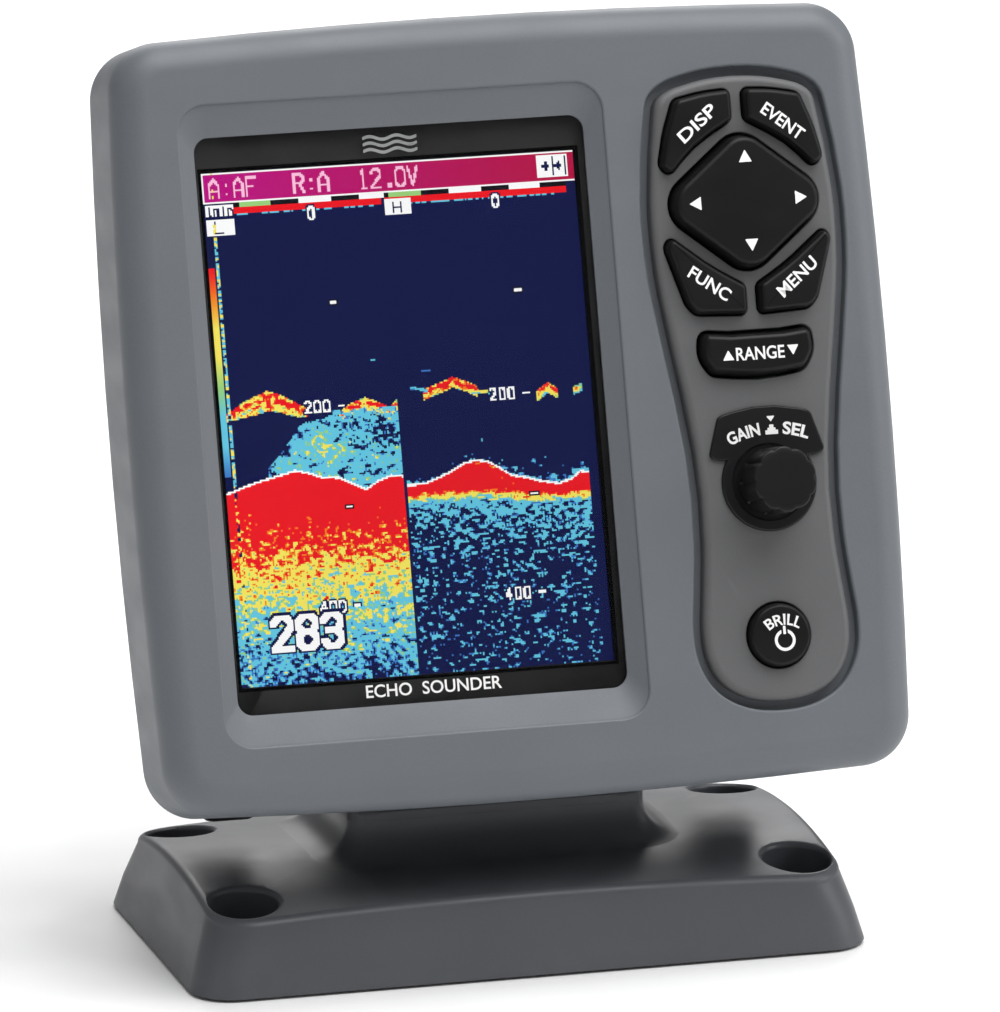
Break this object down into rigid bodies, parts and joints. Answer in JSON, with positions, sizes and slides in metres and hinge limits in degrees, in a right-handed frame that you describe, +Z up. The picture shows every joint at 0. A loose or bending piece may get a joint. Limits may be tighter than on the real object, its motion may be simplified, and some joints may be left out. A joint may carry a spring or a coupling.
{
  "type": "fish finder",
  "caption": "Portrait echo sounder with a colour screen and a keypad with push-turn gain knob, tilting on a screw-down desk mount.",
  "frame": {"origin": "middle of the mount underside, on the floor", "axes": "+Z up, the screen faces -Y, +X to the right as the user sees it"},
  "size_m": [0.178, 0.1007, 0.2118],
  "materials": {
    "base_plastic": "satin moulded",
    "soft_rubber": "matt",
    "nylon": "satin",
    "fibre": "matt",
    "knob_plastic": "satin",
    "bracket_plastic": "satin moulded",
    "steel": "satin",
    "brass": "machined",
    "case_plastic": "satin moulded",
    "fascia_plastic": "satin moulded",
    "window_glass": "polished",
    "lcd_glass": "polished",
    "light_guide": "satin",
    "flat_cable": "polyimide",
    "circuit_board": "solder mask",
    "chip_plastic": "moulded",
    "heat_sink_metal": "satin",
    "connector_metal": "nickel plated",
    "key_rubber": "satin"
  },
  "bodies": {
    "stand": {"mount_base": "base_plastic", "mount_end_left": "base_plastic", "mount_end_right": "base_plastic", "base_pad": "soft_rubber", "ear_bushes": "nylon", "friction_washers": "fibre"},
    "display": {"case_gasket": "soft_rubber", "window_seal": "soft_rubber", "cursor_post": "nylon", "key_switches": "nylon", "knob_surround": "knob_plastic", "tilt_bracket": "bracket_plastic", "bracket_screws": "steel", "cover_screws": "steel", "board_screws": "steel", "power_screws": "steel", "keypad_screws": "steel", "lcd_frame": "steel", "encoder_body": "steel", "encoder_nut": "steel", "connector_nuts": "steel", "bracket_inserts": "brass", "board_standoffs": "brass", "ground_terminal": "brass", "connector_pins": "brass", "front_bezel": "case_plastic", "rear_cover": "case_plastic", "keypad_fascia": "fascia_plastic", "display_window": "window_glass", "lcd_panel": "lcd_glass", "backlight": "light_guide", "lcd_cable": "flat_cable", "main_board": "circuit_board", "power_board": "circuit_board", "keypad_board": "circuit_board", "processor_chips": "chip_plastic", "buzzer": "chip_plastic", "transformer": "chip_plastic", "capacitors": "chip_plastic", "heat_sink": "heat_sink_metal", "power_connector": "connector_metal", "sounder_connector": "connector_metal", "data_connector": "connector_metal"},
    "disp_key": {"disp_key": "key_rubber"},
    "event_key": {"event_key": "key_rubber"},
    "func_key": {"func_key": "key_rubber"},
    "menu_key": {"menu_key": "key_rubber"},
    "power_key": {"power_key": "key_rubber"},
    "cursor_gimbal": {"cursor_gimbal": "nylon"},
    "cursor_pad": {"cursor_pad": "key_rubber"},
    "range_rocker": {"range_rocker": "key_rubber"},
    "encoder_plunger": {"encoder_plunger": "nylon"},
    "gain_knob": {"gain_knob": "knob_plastic", "knob_shaft": "steel"},
    "tilt_knob_left": {"tilt_knob_left": "knob_plastic", "tilt_stud_left": "steel"},
    "tilt_knob_right": {"tilt_knob_right": "knob_plastic", "tilt_stud_right": "steel"}
  },
  "joints": [
    {"name": "display_tilt", "type": "hinge", "parent": "stand", "child": "display", "pos_m": [0, 0.008, 0.042], "axis": [-1, 0, 0], "range_deg": [-17, 28]},
    {"name": "tilt_knob_left_turn", "type": "hinge", "parent": "stand", "child": "tilt_knob_left", "pos_m": [-0.042, 0.008, 0.042], "axis": [-1, 0, 0], "continuous": true},
    {"name": "tilt_knob_right_turn", "type": "hinge", "parent": "stand", "child": "tilt_knob_right", "pos_m": [0.042, 0.008, 0.042], "axis": [1, 0, 0], "continuous": true},
    {"name": "disp_press", "type": "slide", "parent": "display", "child": "disp_key", "axis": [0, 0.9553, -0.2957], "range_m": [0, 0.0008], "stiffness_N_per_m": 2500},
    {"name": "event_press", "type": "slide", "parent": "display", "child": "event_key", "axis": [0, 0.9553, -0.2957], "range_m": [0, 0.0008], "stiffness_N_per_m": 2500},
    {"name": "func_press", "type": "slide", "parent": "display", "child": "func_key", "axis": [0, 0.9553, -0.2957], "range_m": [0, 0.0008], "stiffness_N_per_m": 2500},
    {"name": "menu_press", "type": "slide", "parent": "display", "child": "menu_key", "axis": [0, 0.9553, -0.2957], "range_m": [0, 0.0008], "stiffness_N_per_m": 2500},
    {"name": "power_press", "type": "slide", "parent": "display", "child": "power_key", "axis": [0, 0.9553, -0.2957], "range_m": [0, 0.0008], "stiffness_N_per_m": 2500},
    {"name": "cursor_rock_up_down", "type": "hinge", "parent": "display", "child": "cursor_gimbal", "pos_m": [0.0558, -0.01204, 0.16883], "axis": [1, 0, 0], "range_deg": [-3, 3], "stiffness_Nm_per_rad": 0.4},
    {"name": "cursor_rock_left_right", "type": "hinge", "parent": "cursor_gimbal", "child": "cursor_pad", "pos_m": [0.0558, -0.01204, 0.16883], "axis": [0, 0.2957, 0.9553], "range_deg": [-3, 3], "stiffness_Nm_per_rad": 0.4},
    {"name": "range_rock", "type": "hinge", "parent": "display", "child": "range_rocker", "pos_m": [0.0558, -0.02224, 0.13587], "axis": [0, 0.2957, 0.9553], "range_deg": [-3, 3], "stiffness_Nm_per_rad": 0.35},
    {"name": "gain_push", "type": "slide", "parent": "display", "child": "encoder_plunger", "axis": [0, 0.9553, -0.2957], "range_m": [0, 0.0008], "stiffness_N_per_m": 3000},
    {"name": "gain_turn", "type": "hinge", "parent": "encoder_plunger", "child": "gain_knob", "pos_m": [0.0564, -0.03273, 0.10876], "axis": [0, -0.9553, 0.2957], "continuous": true}
  ]
}
